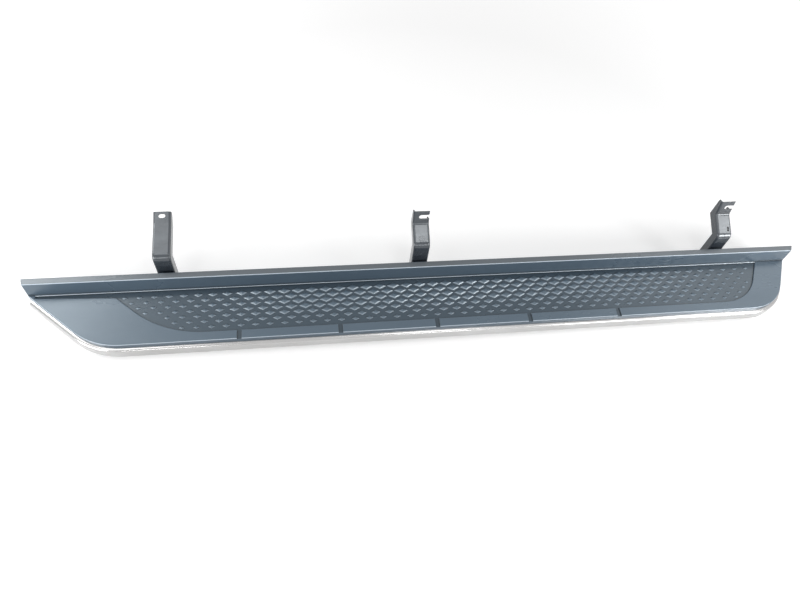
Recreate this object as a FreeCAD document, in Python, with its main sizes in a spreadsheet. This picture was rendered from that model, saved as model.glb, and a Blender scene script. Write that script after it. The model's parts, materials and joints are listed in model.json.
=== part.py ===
import FreeCAD, Part
import math
import os

import Sketcher

# A side step for a compact SUV: a moulded board with a raised rear lip and a lugged tread, a bright
# trim strip along its outer edge, a steel rail inside, and three pressed brackets that bolt to the sill.
# X runs along the board, -Y is the outer edge that a foot meets first, +Y is the vehicle's side.
# While the pieces are made, Y = 0 is the foot of the rear wall and Z = 0 is the tread floor.

VECTOR = FreeCAD.Vector
DOC = FreeCAD.newDocument("SideStep")
SHEET = DOC.addObject("Spreadsheet::Sheet", "Sizes")

# Driving dimensions in millimetres and degrees.
DIMENSIONS = [
    # board outline seen from above
    ("board_length", 1748, "over both tips"),
    ("deck_depth", 126, "wall foot to outer edge"),
    ("lip_reach", 23, "wall foot to rear edge"),
    ("tip_inset", 6, "left tip, how far its edge leans in"),
    ("left_rake", 41.8, "sweep of the pointed end"),
    ("left_corner", 136, "radius where that sweep meets the outer edge"),
    ("right_rake", 29.5, "cut of the other end"),
    ("right_corner", 110, "radius of its outer corner"),
    # board section
    ("lip_height", 35, "lip top over the tread floor"),
    ("lip_width", 15, "flat top of the lip"),
    ("ledge_width", 2.5, "narrow ledge at the wall foot"),
    ("skirt_depth", 32, "tread floor to the skirt's lower edge"),
    ("skin", 3, "wall of the moulding"),
    ("lip_round", 2, "rounding along the lip's edges"),
    ("rim_round", 1.6, "rounding along the outer rim"),
    ("recess_break", 0.8, "broken edge round the recess"),
    # tread recess and the raised frame round it
    ("frame_rise", 2.5, "end plates and front band over the floor"),
    ("band_width", 21, "front band"),
    ("left_plate", 158, "left end plate, along the board"),
    ("right_plate", 76, "right end plate, along the board"),
    ("tread_left_corner", 220, "radius of the recess by the left plate"),
    ("tread_right_corner", 110, "radius of the recess by the right plate"),
    ("channel_end", 14, "left tip to the start of the drain channel"),
    ("channel_narrow", 5, "drain channel at the tip"),
    ("channel_wide", 13, "drain channel at the tread"),
    ("plate_nose", 7, "rounding of the plate's corner there"),
    ("notch_width", 9.5, "drain notch through the front band"),
    ("notch_pitch", 208.6, "from notch to notch"),
    ("notch_shift", -26, "middle notch from the board's middle"),
    ("notch_count", 5, "drain notches"),
    # tread lugs
    ("lug_pitch", 29.85, "along a row"),
    ("lug_row_pitch", 13.1, "from row to row"),
    ("lug_rows", 7, "rows of lugs"),
    ("lug_first_row", 14.5, "wall foot to the first row"),
    ("lug_length", 28, "largest lug"),
    ("lug_width", 15, "largest lug"),
    ("lug_height", 3.4, "over the tread floor"),
    ("lug_shoulder_rise", 2.3, "height of its steep flank"),
    ("lug_shoulder", 0.68, "shoulder above that flank as a share of the foot"),
    ("lug_smallest", 0.42, "share of full size at the tread's ends"),
    ("lug_front_share", 0.58, "share of full size in the front row"),
    ("lug_growth", 330, "length over which the lugs grow to full size"),
    ("lug_margin", 15, "tread end to the nearest lug's middle"),
    # trim strip
    ("trim_gap", 0.3, "trim to skirt"),
    ("trim_sheet", 1.2, "thickness of the strip"),
    ("trim_reach", 8.5, "how far the strip stands out"),
    ("trim_drop", 11.5, "rim to the strip's upper edge"),
    ("trim_lap", 3, "flange under the skirt"),
    ("trim_tip_gap", 5, "left tip to the strip's end"),
    ("clip_width", 18, "trim clip"),
    ("clip_sheet", 0.8, "clip thickness"),
    ("clip_bend", 1.8, "cut of its folded corners"),
    ("clip_height", 9, "clip legs"),
    ("clip_pitch", 230, "from clip to clip"),
    ("clip_count", 6, "trim clips"),
    # underside
    ("tray_sheet", 3, "tray thickness"),
    ("tray_gap", 0.5, "tray to skirt"),
    ("tray_end", 42, "left tip to the tray's end"),
    ("rail_width", 66, "steel rail"),
    ("rail_wall", 2, "rail wall"),
    ("rail_corner", 4, "cut of the rail's corners"),
    ("rail_length", 1390, "steel rail"),
    ("rail_shift", 42, "rail middle from the board's middle"),
    ("rail_offset", 60, "rail middle to the wall foot"),
    ("plug_flange", 2, "rail plug's rim"),
    ("plug_depth", 12, "rail plug inside the rail"),
    ("plug_gap", 0.3, "plug to rail"),
    ("boss_radius", 4.5, "screw boss"),
    ("boss_pitch", 300, "from boss to boss"),
    ("boss_shift", 10, "middle boss from the board's middle"),
    ("boss_front", 109, "front row of bosses to the wall foot"),
    ("boss_rear", 11, "rear row of bosses to the wall foot"),
    ("screw_radius", 1.6, "tray screw"),
    ("screw_head", 4, "half width of its head over the corners"),
    ("screw_head_rise", 2.2, "height of its head"),
    ("screw_length", 16, "under the head"),
    ("screw_gap", 0.4, "screw to hole"),
    # brackets
    ("bracket_width", 37, "over the flanges"),
    ("bracket_sheet", 3, "plate thickness"),
    ("bracket_corner", 5, "outer radius along web and flange"),
    ("flange_depth", 14, "flange under the arm"),
    ("ramp_flange", 21, "flange behind the ramp"),
    ("foot_depth", 22, "flange behind the upright"),
    ("pad_sheet", 3, "rubber pad between tray and arm"),
    ("arm_reach", 100, "arm's front end to the wall foot"),
    ("web_gap", 3.5, "upright clear of the rear skirt"),
    ("upright_lean", 8, "lean of the upright over its height"),
    ("left_ramp_angle", 12, "upper web above the horizontal"),
    ("middle_ramp_angle", 27, "upper web above the horizontal"),
    ("right_ramp_angle", 27, "upper web above the horizontal"),
    ("left_tab_angle", 20, "bolt tab above the horizontal"),
    ("middle_tab_angle", 75, "bolt tab above the horizontal"),
    ("right_tab_angle", 75, "bolt tab above the horizontal"),
    ("foot_bend", 12, "bend from arm to upright"),
    ("knee_bend", 17, "bend from upright to ramp"),
    ("tab_bend", 7, "bend from ramp to tab"),
    ("left_station", -594.5, "left bracket from the board's middle"),
    ("middle_station", -48, "middle bracket"),
    ("right_station", 682, "right bracket"),
    ("left_knee", 70, "knee over the tread floor"),
    ("middle_knee", 76, "knee over the tread floor"),
    ("right_knee", 66, "knee over the tread floor"),
    ("left_ramp", 80, "length of the ramp"),
    ("middle_ramp", 50, "length of the ramp"),
    ("right_ramp", 53, "length of the ramp"),
    ("left_tab", 26, "length of the bolt tab"),
    ("middle_tab", 31, "length of the bolt tab"),
    ("right_tab", 35, "length of the bolt tab"),
    ("left_flange", 12, "flange at the tab's end"),
    ("middle_flange", 9, "flange at the tab's end"),
    ("right_flange", 12, "flange at the tab's end"),
    ("sill_slot", 5.5, "half height of the open slots for the sill studs"),
    ("sill_hole", 4.5, "half height of the long hole in the left tab"),
    ("sill_hole_length", 14, "long hole in the left tab"),
    ("left_drop", 9.5, "tab's top to the hole"),
    ("middle_drop", 14, "tab's top to the slot"),
    ("right_drop", 15, "tab's top to the slot"),
    ("drip_hole", 2.2, "half width of the long hole in the right ramp"),
    ("drip_hole_length", 11, "long hole in the right ramp"),
    ("drip_hole_along", 18, "knee to that hole, along the ramp"),
    ("drip_hole_shift", 9, "bracket's middle to that hole"),
    ("dimple_radius", 5.5, "round dimple on the middle ramp"),
    ("dimple_rise", 0.8, "round dimple on the middle ramp"),
    ("dimple_along", 17, "knee to the dimple, along the ramp"),
    # fasteners under the board
    ("bolt_radius", 4, "bracket bolt"),
    ("bolt_gap", 0.5, "bolt to hole"),
    ("thread_gap", 0.2, "bolt to the nut plate's hole"),
    ("bolt_span", 36, "between the two bolts of a bracket"),
    ("bolt_head", 6.5, "half width of the head over its flats"),
    ("bolt_head_rise", 5.3, "height of the head"),
    ("bolt_length", 28, "under the head"),
    ("washer_width", 18, "plate washer under a bracket's two bolts"),
    ("washer_length", 60, "plate washer"),
    ("washer_sheet", 2.5, "plate washer"),
    ("nut_plate_length", 54, "captive nut plate"),
    ("nut_plate_width", 26, "captive nut plate"),
    ("nut_plate_sheet", 6, "captive nut plate"),
]


def fill_sheet():
    """Writes each driving dimension into the sheet with its alias and a note."""
    for row, (alias, number, note) in enumerate(DIMENSIONS, start=1):
        SHEET.set(f"A{row}", alias.replace("_", " "))
        SHEET.set(f"B{row}", str(number))
        SHEET.setAlias(f"B{row}", alias)
        SHEET.set(f"C{row}", note)
    DOC.recompute()


def size(expression):
    """The present value of an expression over the sheet's aliases."""
    return float(SHEET.evalExpression(str(expression)))


def named(expression):
    """The same expression with every alias written as Sizes.alias, for use in another object."""
    text = str(expression)
    for alias in sorted((entry[0] for entry in DIMENSIONS), key=len, reverse=True):
        text = text.replace(alias, "@" + str(ALIAS_ORDER[alias]) + "@")
    for alias, order in ALIAS_ORDER.items():
        text = text.replace("@" + str(order) + "@", "Sizes." + alias)
    return text


ALIAS_ORDER = {entry[0]: order for order, entry in enumerate(DIMENSIONS)}


def bind(thing, prop, expression):
    """Ties a property of an object to an expression over the sheet."""
    thing.setExpression(prop, named(expression))


def new_body(name):
    """A body for one sub-part."""
    body = DOC.addObject("PartDesign::Body", name)
    body.Label = name
    return body


def new_sketch(body, name, plane, offset="0", across="0", up="0", turn_axis=None, turn="0"):
    """A sketch on one of the body's origin planes, moved off it by expressions.

    offset goes along the plane's normal, across and up along the sketch's own axes.
    """
    sketch = body.newObject("Sketcher::SketchObject", name)
    role = plane + "_Plane"
    support = [item for item in body.Origin.OriginFeatures if item.Role == role][0]
    sketch.AttachmentSupport = (support, [""])
    sketch.MapMode = "FlatFace"
    if turn_axis is not None:
        sketch.AttachmentOffset = FreeCAD.Placement(VECTOR(), FreeCAD.Rotation(turn_axis, size(turn)))
        bind(sketch, "AttachmentOffset.Rotation.Angle", turn)
    bind(sketch, "AttachmentOffset.Base.x", across)
    bind(sketch, "AttachmentOffset.Base.y", up)
    bind(sketch, "AttachmentOffset.Base.z", offset)
    return sketch


def pin(sketch, geometry, end, across, up):
    """Fixes a point of a sketch at two expressions from its origin."""
    for kind, expression in (("DistanceX", across), ("DistanceY", up)):
        constraint = Sketcher.Constraint(kind, -1, 1, geometry, end, size(expression))
        index = sketch.addConstraint(constraint)
        bind(sketch, f"Constraints[{index}]", expression)


def draw_outline(sketch, corners, closed=True):
    """Draws straight sides between corners, each (across, up) or (across, up, radius)."""
    first = sketch.GeometryCount
    count = len(corners)
    places = [VECTOR(size(corner[0]), size(corner[1]), 0) for corner in corners]
    sides = count if closed else count - 1
    for side in range(sides):
        sketch.addGeometry(Part.LineSegment(places[side], places[(side + 1) % count]), False)
    joints = sides if closed else sides - 1
    for side in range(joints):
        sketch.addConstraint(Sketcher.Constraint("Coincident", first + side, 2, first + (side + 1) % count, 1))
    for order, corner in enumerate(corners):
        last_end = not closed and order == count - 1
        geometry = first + (order - 1 if last_end else order)
        pin(sketch, geometry, 2 if last_end else 1, corner[0], corner[1])
    for order, corner in enumerate(corners):
        if len(corner) == 3:
            before = sketch.GeometryCount
            sketch.fillet(first + order, 1, size(corner[2]), True, True)
            index = sketch.addConstraint(Sketcher.Constraint("Radius", before, size(corner[2])))
            bind(sketch, f"Constraints[{index}]", corner[2])


def draw_circle(sketch, across, up, radius):
    """Draws a circle whose middle and radius are expressions."""
    middle = VECTOR(size(across), size(up), 0)
    geometry = sketch.addGeometry(Part.Circle(middle, VECTOR(0, 0, 1), size(radius)), False)
    pin(sketch, geometry, 3, across, up)
    index = sketch.addConstraint(Sketcher.Constraint("Radius", geometry, size(radius)))
    bind(sketch, f"Constraints[{index}]", radius)


def draw_punched(sketch, across, up, radius, sides):
    """Draws a hole with flat sides round a circle whose middle and radius are expressions."""
    corners = []
    for step in range(sides):
        turn = (step + 0.5) * 360 / sides
        reach = f"({radius}) / cos(180 / {sides})"
        corners.append((f"{across} + {reach} * cos({turn})", f"{up} + {reach} * sin({turn})"))
    draw_outline(sketch, corners)


def cut_corners(left, right, low, high, cut):
    """The eight corners of a rectangle whose own corners are cut off at 45 degrees."""
    return [
        (f"{left} + {cut}", low), (f"{right} - {cut}", low), (right, f"{low} + {cut}"),
        (right, f"{high} - {cut}"), (f"{right} - {cut}", high), (f"{left} + {cut}", high),
        (left, f"{high} - {cut}"), (left, f"{low} + {cut}"),
    ]


def pad(body, name, sketch, length, both_ways=False):
    """Adds material along the sketch's normal, or to both sides of it."""
    feature = body.newObject("PartDesign::Pad", name)
    feature.Profile = sketch
    feature.SideType = "Symmetric" if both_ways else "One side"
    bind(feature, "Length", length)
    return feature


def pocket(body, name, sketch, length=None, along_normal=False):
    """Removes material against the sketch's normal, or right through without a length."""
    feature = body.newObject("PartDesign::Pocket", name)
    feature.Profile = sketch
    if length is None:
        feature.SideType = "Symmetric"
        feature.Type = "ThroughAll"
    else:
        feature.Reversed = along_normal
        bind(feature, "Length", length)
    return feature


def round_edges(body, name, picks, radius, kind="PartDesign::Fillet"):
    """Rounds, or chamfers, the edges of the body's present shape that the test function picks."""
    DOC.recompute()
    base = body.Tip
    names = [f"Edge{number}" for number, edge in enumerate(base.Shape.Edges, start=1) if picks(edge)]
    if not names:
        raise RuntimeError(f"{body.Label}: no edge to round for {name}")
    feature = body.newObject(kind, name)
    feature.Base = (base, names)
    bind(feature, "Size" if kind.endswith("Chamfer") else "Radius", radius)
    DOC.recompute()
    return feature


def lies_at(edge, across=None, along=None, height=None, slack=0.01):
    """True for an edge whose ends both have the given X, Y or Z."""
    for vertex in edge.Vertexes:
        if across is not None and abs(vertex.X - across) > slack:
            return False
        if along is not None and abs(vertex.Y - along) > slack:
            return False
        if height is not None and abs(vertex.Z - height) > slack:
            return False
    return True


def left_edge(depth, shift="0"):
    """X of the board's swept left end at a depth Y, moved in by shift along X."""
    return f"(-board_length / 2 + tip_inset - ({depth}) / tan(left_rake) + {shift})"


def right_edge(depth, shift="0"):
    """X of the board's cut right end at a depth Y, moved in by shift along X."""
    return f"(board_length / 2 - (lip_reach - ({depth})) * tan(right_rake) - {shift})"


def recess_corners():
    """The tread recess: a drain channel to the left tip, then the tread between its two end plates."""
    band = "(band_width - deck_depth)"
    return [
        (right_edge("0", "right_plate"), "0"),
        (left_edge("0", "channel_end"), "0"),
        (left_edge("0", "channel_end"), "-channel_narrow"),
        (left_edge("-channel_wide", "left_plate"), "-channel_wide", "plate_nose"),
        (left_edge(band, "left_plate"), band, "tread_left_corner"),
        (right_edge(band, "right_plate"), band, "tread_right_corner"),
    ]


def boss_places():
    """X and Y of each screw boss under the deck."""
    places = []
    for step in range(-2, 3):
        across = f"boss_shift + {step} * boss_pitch"
        places.append((across, "-boss_front"))
        places.append((across, "-boss_rear"))
    return places


def moulding_body():
    """The board's one-piece moulding, without its lugs."""
    body = new_body("board_shell")
    outline = new_sketch(body, "BoardOutline", "XY", "-skirt_depth")
    draw_outline(outline, [
        ("-board_length / 2", "lip_reach"),
        ("tip_inset - board_length / 2", "0"),
        (left_edge("-deck_depth"), "-deck_depth", "left_corner"),
        (right_edge("-deck_depth"), "-deck_depth", "right_corner"),
        ("board_length / 2", "lip_reach"),
    ])
    pad(body, "Block", outline, "skirt_depth + lip_height")
    above = new_sketch(body, "AboveDeck", "YZ")
    clear_top = "lip_height + skin"
    clear_front = "-deck_depth - skirt_depth"
    draw_outline(above, [
        (clear_front, "0"),
        ("ledge_width", "0"),
        ("lip_reach - lip_width", "lip_height"),
        ("lip_reach - lip_width", clear_top),
        (clear_front, clear_top),
    ])
    pocket(body, "DeckCut", above)
    lip_top = size("lip_height")
    length = size("board_length")
    round_edges(
        body, "LipRounds",
        lambda edge: lies_at(edge, height=lip_top) and edge.Length > length / 2, "lip_round")
    cavity = new_sketch(body, "CavityOutline", "XY", "-skirt_depth")
    rear = "(lip_reach - skin)"
    front = "(skin - deck_depth)"
    tip = "(tip_inset - board_length / 2 + skin)"
    draw_outline(cavity, [
        (tip, rear),
        (tip, "skin * (1 / sin(left_rake) - 1) * tan(left_rake)"),
        (left_edge(front, "skin / sin(left_rake)"), front, "left_corner - skin"),
        (right_edge(front, "skin / cos(right_rake)"), front, "right_corner - skin"),
        (right_edge(rear, "skin / cos(right_rake)"), rear),
    ])
    pocket(body, "Cavity", cavity, "skirt_depth - skin", along_normal=True)
    lip_inside = new_sketch(body, "LipInside", "YZ", offset=tip)
    draw_outline(lip_inside, [
        ("ledge_width + skin", "-2 * skin"),
        ("lip_reach - skin", "-2 * skin"),
        ("lip_reach - skin", "lip_height - skin"),
        ("lip_reach - lip_width + skin", "lip_height - skin"),
    ])
    lip_run = f"{right_edge('0', 'skin / cos(right_rake)')} - {tip}"
    pocket(body, "LipCavity", lip_inside, lip_run, along_normal=True)
    frame = new_sketch(body, "DeckFrame", "XY")
    inside_wall = "ledge_width + skin / 2"
    draw_outline(frame, [
        (f"tip_inset * (1 - ({inside_wall}) / lip_reach) - board_length / 2", inside_wall),
        ("tip_inset - board_length / 2", "0"),
        (left_edge("-deck_depth"), "-deck_depth", "left_corner"),
        (right_edge("-deck_depth"), "-deck_depth", "right_corner"),
        (right_edge(inside_wall), inside_wall),
    ])
    draw_outline(frame, recess_corners())
    pad(body, "Frame", frame, "frame_rise")
    frame_top = size("frame_rise")
    outer = size("deck_depth") - size("band_width") / 2

    def on_rim(edge):
        """The rim's long front run, the arcs beside it and the two swept ends."""
        if not lies_at(edge, height=frame_top):
            return False
        box = edge.BoundBox
        if box.YMin < -outer:
            return True
        straight_end = box.YMax < size("skin") and box.YLength > size("deck_depth") / 4
        left_side = box.XMax < size(left_edge("-deck_depth", "left_plate / 2"))
        right_side = box.XMin > size(right_edge("-deck_depth", "0"))
        return straight_end and (left_side or right_side)

    round_edges(body, "RimRounds", on_rim, "rim_round")

    def on_recess(edge):
        """The recess's upper edges all round, the ledge's front edge among them."""
        if not lies_at(edge, height=frame_top):
            return False
        spot = edge.valueAt((edge.FirstParameter + edge.LastParameter) / 2)
        return (-outer < spot.y < size("ledge_width / 2")
                and spot.x > size(left_edge(spot.y, "channel_end / 2"))
                and spot.x < size(right_edge(spot.y, "right_plate / 2")))

    round_edges(body, "RecessBreak", on_recess, "recess_break", "PartDesign::Chamfer")
    notch = new_sketch(body, "NotchOutline", "XY", "frame_rise")
    start = "(notch_shift - (notch_count - 1) / 2 * notch_pitch)"
    draw_outline(notch, [
        (f"{start} - notch_width / 2", "-deck_depth - skin"),
        (f"{start} + notch_width / 2", "-deck_depth - skin"),
        (f"{start} + notch_width / 2", "band_width - deck_depth + skin"),
        (f"{start} - notch_width / 2", "band_width - deck_depth + skin"),
    ])
    first_notch = pocket(body, "Notch", notch, "frame_rise")
    row = body.newObject("PartDesign::LinearPattern", "Notches")
    row.Originals = [first_notch]
    row.Direction = (notch, ["H_Axis"])
    row.Mode = "Spacing"
    bind(row, "Offset", "notch_pitch")
    bind(row, "Occurrences", "notch_count")
    body.Tip = row
    DOC.recompute()
    bosses = new_sketch(body, "BossOutlines", "XY", "tray_sheet - skirt_depth")
    for across, along in boss_places():
        draw_punched(bosses, across, along, "boss_radius", 6)
    pad(body, "Bosses", bosses, "skirt_depth - tray_sheet - skin / 2")
    holes = new_sketch(body, "BossHoles", "XY", "tray_sheet - skirt_depth")
    for across, along in boss_places():
        draw_punched(holes, across, along, "screw_radius + screw_gap", 6)
    pocket(body, "ScrewHoles", holes, "screw_length", along_normal=True)
    DOC.recompute()
    return body


def recess_end(depth, corner_across, angle, radius, side):
    """X of the recess's end at a depth Y: a slanted side, then an arc into the front band.

    side is -1 at the left end and 1 at the right, angle is the slanted side against the X axis.
    """
    band = size("band_width - deck_depth")
    tangent = radius * math.tan(math.radians(angle) / 2)
    if depth >= band + tangent * math.sin(math.radians(angle)):
        return corner_across + side * (depth - band) / math.tan(math.radians(angle))
    middle_up = band + radius
    middle_across = corner_across - side * tangent
    return middle_across + side * math.sqrt(radius ** 2 - (depth - middle_up) ** 2)


def flat_face(corners):
    """A flat face inside straight sides between corners."""
    return Part.Face(Part.makePolygon(corners + corners[:1]))


def lug_solid(across, along, share):
    """One lug: a lozenge with steep flanks, and on them four gentler slopes that meet in a low peak.

    share is the lug's size as a share of the largest, and a small lug is a little lower too.
    """
    half_length = size("lug_length") / 2 * share
    half_width = size("lug_width") / 2 * share
    tall = (1 + share) / 2
    rings = []
    for height, part in ((-size("skin") / 4, 1.0), (0, 1.0), (size("lug_shoulder_rise") * tall, size("lug_shoulder"))):
        rings.append([
            VECTOR(across - half_length * part, along, height),
            VECTOR(across, along - half_width * part, height),
            VECTOR(across + half_length * part, along, height),
            VECTOR(across, along + half_width * part, height),
        ])
    peak = VECTOR(across, along, size("lug_height") * tall)
    faces = [flat_face(rings[0][::-1])]
    for low, high in zip(rings, rings[1:]):
        for side in range(4):
            faces.append(flat_face([low[side - 1], low[side], high[side], high[side - 1]]))
    for side in range(4):
        faces.append(flat_face([rings[-1][side - 1], rings[-1][side], peak]))
    return Part.Solid(Part.Shell(faces))


def lug_field():
    """All lugs: staggered rows, small at both ends and in front, full size behind the middle."""
    band = "(band_width - deck_depth)"
    left_corner = size(left_edge(band, "left_plate"))
    right_corner = size(right_edge(band, "right_plate"))
    rows = round(size("lug_rows"))
    full_rows = (rows + 1) // 2
    pitch = size("lug_pitch")
    smallest = size("lug_smallest")
    growth = size("lug_growth")
    first_left = None
    solids = []
    for row in range(rows):
        along = -size("lug_first_row") - row * size("lug_row_pitch")
        left = recess_end(along, left_corner, size("left_rake"), size("tread_left_corner"), -1)
        right = recess_end(along, right_corner, 90 - size("right_rake"), size("tread_right_corner"), 1)
        left += size("lug_margin")
        right -= size("lug_margin")
        if first_left is None:
            first_left = left
        origin = first_left + (row % 2) * pitch / 2
        start = math.ceil((left - origin) / pitch)
        stop = math.floor((right - origin) / pitch)
        front_steps = max(0, row - full_rows + 1) / (rows - full_rows)
        row_share = 1 - (1 - size("lug_front_share")) * front_steps
        for step in range(start, stop + 1):
            across = origin + step * pitch
            grown = min(1.0, min(across - left, right - across) / growth)
            share = min(row_share, smallest + (1 - smallest) * grown)
            solids.append(lug_solid(across, along, share))
    field = DOC.addObject("Part::Feature", "lug_field")
    field.Shape = Part.makeCompound(solids)
    return field


def tread_moulding():
    """The moulding with its lugs standing on the tread floor."""
    whole = DOC.addObject("Part::MultiFuse", "tread_moulding")
    whole.Shapes = [moulding_body(), lug_field()]
    whole.Refine = False
    return whole


def outer_trim():
    """The bright strip: one section carried round the pointed end, the front and the far corner."""
    body = new_body("outer_trim")
    route = new_sketch(body, "TrimRoute", "XY")
    tip_across = "(tip_inset - board_length / 2 + trim_tip_gap * cos(left_rake))"
    tip_along = "(-trim_tip_gap * sin(left_rake))"
    right_turn = "(right_corner * tan((90 - right_rake) / 2))"
    draw_outline(route, [
        (tip_across, tip_along),
        (left_edge("-deck_depth"), "-deck_depth", "left_corner"),
        (right_edge("-deck_depth"), "-deck_depth", "right_corner"),
        (f"{right_edge('-deck_depth')} + ({right_turn} + skin) * sin(right_rake)",
         f"-deck_depth + ({right_turn} + skin) * cos(right_rake)"),
    ], closed=False)
    section = new_sketch(
        body, "TrimSection", "YZ", offset=tip_across, across=tip_along,
        turn_axis=VECTOR(0, 1, 0), turn="-left_rake")
    top = "(frame_rise - trim_drop)"
    foot = "(-skirt_depth)"
    bend = "trim_sheet * 1.5"
    draw_outline(section, [
        ("-trim_gap", top),
        ("-trim_reach", f"{top} - trim_sheet", "trim_reach * 0.8"),
        ("-trim_reach", f"{foot} - trim_sheet + {bend}"),
        (f"{bend} - trim_reach", f"{foot} - trim_sheet"),
        ("trim_lap", f"{foot} - trim_sheet"),
        ("trim_lap", foot),
        ("trim_sheet - trim_reach", foot),
        ("trim_sheet - trim_reach", f"{top} - trim_reach"),
        ("-trim_reach / 2", f"{top} - trim_reach / 2"),
        ("-trim_gap", f"{top} - trim_sheet"),
    ])
    sweep = body.newObject("PartDesign::AdditivePipe", "Strip")
    sweep.Profile = section
    sweep.Spine = (route, [])
    DOC.recompute()
    return body


def underside_tray():
    """The tray that closes the board from below, flush with the skirt's edge."""
    body = new_body("underside_tray")
    inset = "(skin + tray_gap)"
    end = "(tip_inset - board_length / 2 + tray_end)"
    rear = f"(lip_reach - {inset})"
    front = f"({inset} - deck_depth)"
    left_shift = f"{inset} / sin(left_rake)"
    right_shift = f"{inset} / cos(right_rake)"
    outline = new_sketch(body, "TrayOutline", "XY", "-skirt_depth")
    draw_outline(outline, [
        (end, rear),
        (end, f"-(tray_end - {left_shift}) * tan(left_rake)"),
        (left_edge(front, left_shift), front, f"left_corner - {inset}"),
        (right_edge(front, right_shift), front, f"right_corner - {inset}"),
        (right_edge(rear, right_shift), rear),
    ])
    pad(body, "Plate", outline, "tray_sheet")
    holes = new_sketch(body, "TrayHoles", "XY", "-skirt_depth")
    for across, along in boss_places():
        draw_punched(holes, across, along, "screw_radius + screw_gap", 6)
    for station in BRACKETS:
        for along in bolt_rows():
            draw_punched(holes, f"{station}_station", along, "bolt_radius + bolt_gap", 8)
    pocket(body, "Holes", holes)
    DOC.recompute()
    return body


BRACKETS = ("left", "middle", "right")


def bolt_rows():
    """Y of a bracket's two bolts."""
    return ("-rail_offset - bolt_span / 2", "-rail_offset + bolt_span / 2")


def rail_corners(inset, cut):
    """The rail's section, moved in by inset, with its corners cut off."""
    low = f"(tray_sheet - skirt_depth + {inset})"
    high = f"(-skin - {inset})"
    near = f"(-rail_offset - rail_width / 2 + {inset})"
    far = f"(-rail_offset + rail_width / 2 - {inset})"
    return cut_corners(near, far, low, high, cut)


def carrier_rail():
    """The box rail between the tray and the deck."""
    body = new_body("carrier_rail")
    section = new_sketch(body, "RailSection", "YZ", offset="rail_shift")
    draw_outline(section, rail_corners("0", "rail_corner"))
    draw_outline(section, rail_corners("rail_wall", "(rail_corner - rail_wall / 2)"))
    pad(body, "Tube", section, "rail_length", both_ways=True)
    holes = new_sketch(body, "RailHoles", "XY", "tray_sheet - skirt_depth")
    for station in BRACKETS:
        for along in bolt_rows():
            draw_punched(holes, f"{station}_station", along, "bolt_radius + bolt_gap", 8)
    pocket(body, "Holes", holes, "rail_wall + plug_gap", along_normal=True)
    DOC.recompute()
    return body


def rail_plug(name, side):
    """A moulded plug in one end of the rail: a rim outside and a hollow spigot inside."""
    body = new_body(name)
    end = f"(rail_shift + {side} * rail_length / 2)"
    rim = new_sketch(body, "Rim", "YZ", offset=end)
    draw_outline(rim, rail_corners("0", "rail_corner"))
    rim_pad = pad(body, "RimPad", rim, "plug_flange")
    rim_pad.Reversed = side < 0
    spigot = new_sketch(body, "Spigot", "YZ", offset=end)
    draw_outline(spigot, rail_corners("(rail_wall + plug_gap)", "(rail_corner - rail_wall / 2)"))
    draw_outline(spigot, rail_corners("(2 * rail_wall + plug_gap)", "(rail_corner - rail_wall)"))
    spigot_pad = pad(body, "SpigotPad", spigot, "plug_depth")
    spigot_pad.Reversed = side > 0
    DOC.recompute()
    return body


def nut_plate(station):
    """A captive plate inside the rail with the two threaded holes of one bracket."""
    body = new_body(f"nut_plate_{station}")
    floor = "(tray_sheet + rail_wall - skirt_depth)"
    outline = new_sketch(body, "PlateOutline", "XY", floor)
    middle = f"{station}_station"
    draw_outline(outline, [
        (f"{middle} - nut_plate_width / 2", "-rail_offset - nut_plate_length / 2"),
        (f"{middle} + nut_plate_width / 2", "-rail_offset - nut_plate_length / 2"),
        (f"{middle} + nut_plate_width / 2", "-rail_offset + nut_plate_length / 2"),
        (f"{middle} - nut_plate_width / 2", "-rail_offset + nut_plate_length / 2"),
    ])
    for along in bolt_rows():
        draw_punched(outline, middle, along, "bolt_radius + thread_gap", 12)
    pad(body, "Plate", outline, "nut_plate_sheet")
    DOC.recompute()
    return body


def bracket_line(station, depth):
    """The bracket's side line at a depth under its web, as (Y, Z) expressions from arm to tab."""
    arm_top = "(-skirt_depth - pad_sheet)"
    upright = "(lip_reach + web_gap)"
    knee = f"{station}_knee"
    ramp = f"{station}_ramp"
    upright_angle = f"atan(({knee} - {arm_top}) / upright_lean) / 1 deg"
    slope = f"{station}_ramp_angle"
    knee_across = f"({upright} + upright_lean)"
    tab_across = f"({knee_across} + {ramp} * cos({slope}))"
    tab_up = f"({knee} + {ramp} * sin({slope}))"
    angle = f"{station}_tab_angle"
    top_across = f"({tab_across} + {station}_tab * cos({angle}))"
    top_up = f"({tab_up} + {station}_tab * sin({angle}))"
    knee_mean = f"({upright_angle} + {slope}) / 2"
    knee_half = f"({upright_angle} - {slope}) / 2"
    tab_mean = f"({angle} + {slope}) / 2"
    tab_half = f"({angle} - {slope}) / 2"
    return [
        ("-arm_reach", f"{arm_top} - {depth}"),
        (f"{upright} + {depth}", f"{arm_top} - {depth}"),
        (f"{knee_across} + {depth} * sin({knee_mean}) / cos({knee_half})",
         f"{knee} - {depth} * cos({knee_mean}) / cos({knee_half})"),
        (f"{tab_across} + {depth} * sin({tab_mean}) / cos({tab_half})",
         f"{tab_up} - {depth} * cos({tab_mean}) / cos({tab_half})"),
        (f"{top_across} + {depth} * sin({angle})", f"{top_up} - {depth} * cos({angle})"),
    ]


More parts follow.
